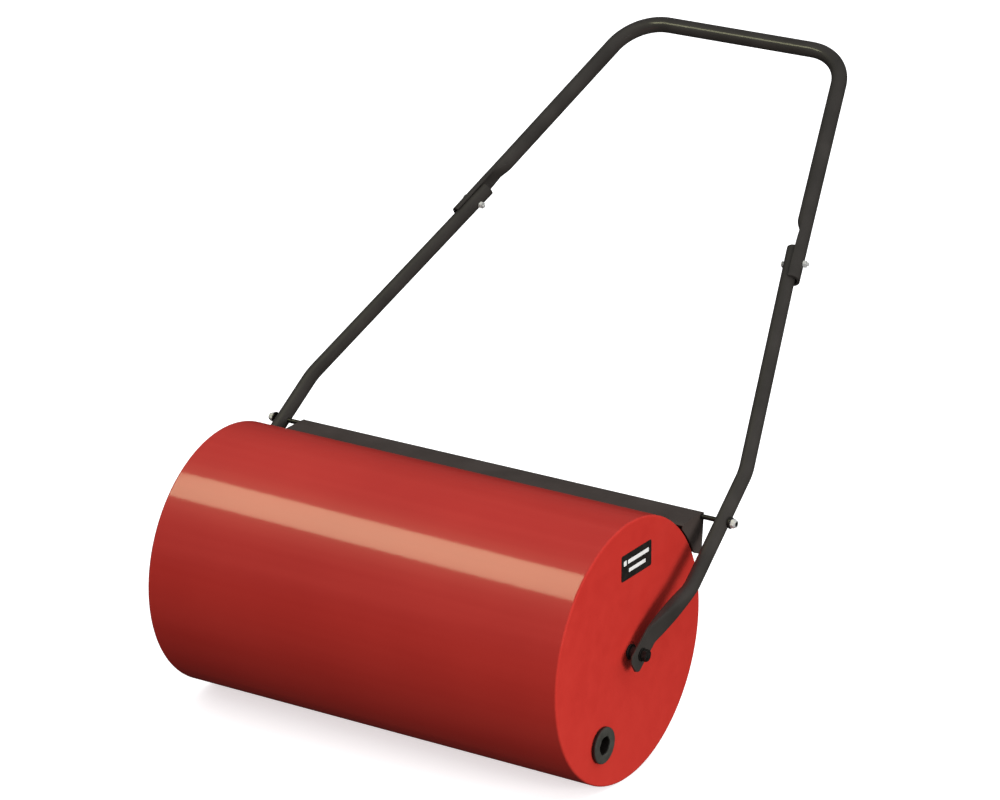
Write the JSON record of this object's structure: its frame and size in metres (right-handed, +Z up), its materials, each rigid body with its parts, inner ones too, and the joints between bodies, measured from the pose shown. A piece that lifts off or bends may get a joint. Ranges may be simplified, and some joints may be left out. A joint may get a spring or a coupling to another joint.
{
  "type": "lawn roller",
  "caption": "Push lawn roller: water-filled steel drum turning on an axle between the bent tubes of a U-shaped handle, with a sheet scraper on a tie rod and a screw filler plug.",
  "frame": {"origin": "on the ground under the middle of the drum, at the drum's resting line", "axes": "+X along the axle towards the end with the filler plug and label, +Y back towards whoever pushes the roller, +Z up"},
  "size_m": [0.664, 0.9055, 0.6812],
  "materials": {
    "drum_paint": "glossy red paint",
    "black_enamel": "semi-gloss black-brown powder coat",
    "zinc_plate": "bright zinc plate",
    "black_fastener": "black oxide, slightly oily",
    "bare_steel": "mill finish",
    "plug_plastic": "moulded dark grey",
    "bush_plastic": "black nylon",
    "seal_rubber": "black rubber",
    "label_film": "black film with blank white bars"
  },
  "bodies": {
    "frame": {"upper_handle": "black_enamel", "lower_tube_right": "black_enamel", "lower_tube_left": "black_enamel", "joint_bolt_right": "zinc_plate", "joint_bolt_left": "zinc_plate", "joint_nut_right": "zinc_plate", "joint_nut_left": "zinc_plate", "tie_rod": "black_fastener", "rod_washer_right": "black_fastener", "rod_washer_left": "black_fastener", "rod_nut_right": "zinc_plate", "rod_nut_left": "zinc_plate", "axle_shaft": "black_fastener", "axle_spacer_right": "bush_plastic", "axle_spacer_left": "bush_plastic", "axle_washer_right": "black_fastener", "axle_washer_left": "black_fastener", "axle_nut_right": "black_fastener", "axle_nut_left": "black_fastener"},
    "drum": {"drum_shell": "drum_paint", "drum_end_right": "drum_paint", "drum_end_left": "drum_paint", "axle_sleeve": "drum_paint", "bearing_bush_right": "bush_plastic", "bearing_bush_left": "bush_plastic", "filler_neck": "bare_steel", "end_label": "label_film"},
    "plug": {"filler_plug": "plug_plastic", "plug_seal": "seal_rubber"},
    "scraper": {"scraper": "black_enamel"}
  },
  "joints": [
    {"name": "drum_spin", "type": "hinge", "parent": "frame", "child": "drum", "pos_m": [0, 0, 0.16], "axis": [1, 0, 0], "continuous": true},
    {"name": "scraper_pivot", "type": "hinge", "parent": "frame", "child": "scraper", "pos_m": [0, 0.16177, 0.27243], "axis": [1, 0, 0], "range_deg": [-3, 0]},
    {"name": "plug_pull", "type": "slide", "parent": "drum", "child": "plug", "axis": [1, 0, 0], "range_m": [0, 0.03]}
  ]
}
